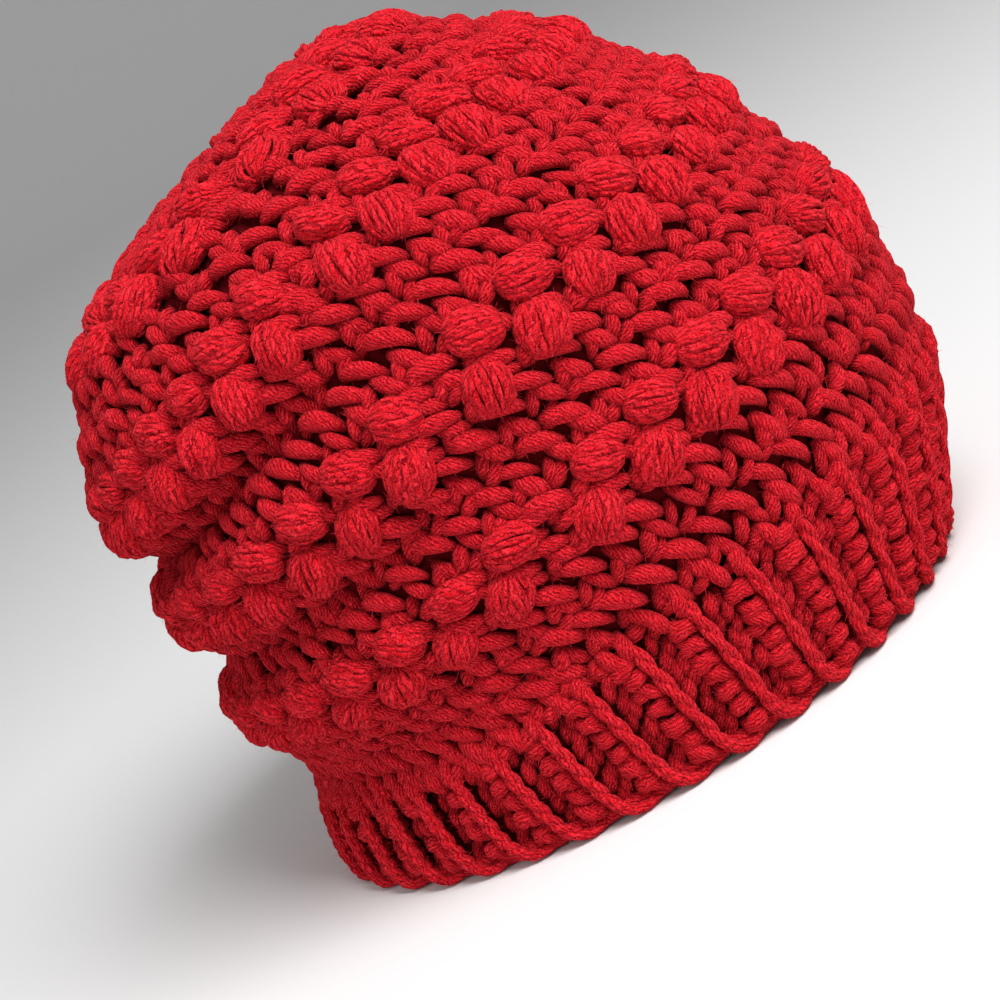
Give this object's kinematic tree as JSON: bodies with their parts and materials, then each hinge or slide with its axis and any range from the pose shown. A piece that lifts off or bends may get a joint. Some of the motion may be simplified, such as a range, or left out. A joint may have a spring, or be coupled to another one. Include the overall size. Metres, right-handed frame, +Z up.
{
  "type": "bubble stitch beanie",
  "caption": "Slouchy crocheted beanie with rings of raised bubbles, folds at the back and a ribbed brim.",
  "frame": {"origin": "on the plane of the brim's lower edge, under the middle of the beanie's box", "axes": "+Z up out of the rim's plane, +X towards the wearer's face, +Y towards the wearer's left"},
  "size_m": [0.2418, 0.2012, 0.2119],
  "materials": {
    "crown_yarn": "matt, slightly fuzzy bright red acrylic yarn, crocheted",
    "brim_yarn": "matt, slightly fuzzy bright red acrylic yarn, crocheted as ribs"
  },
  "bodies": {
    "root": {"crown": "crown_yarn", "ribbed_brim": "brim_yarn"}
  },
  "joints": []
}
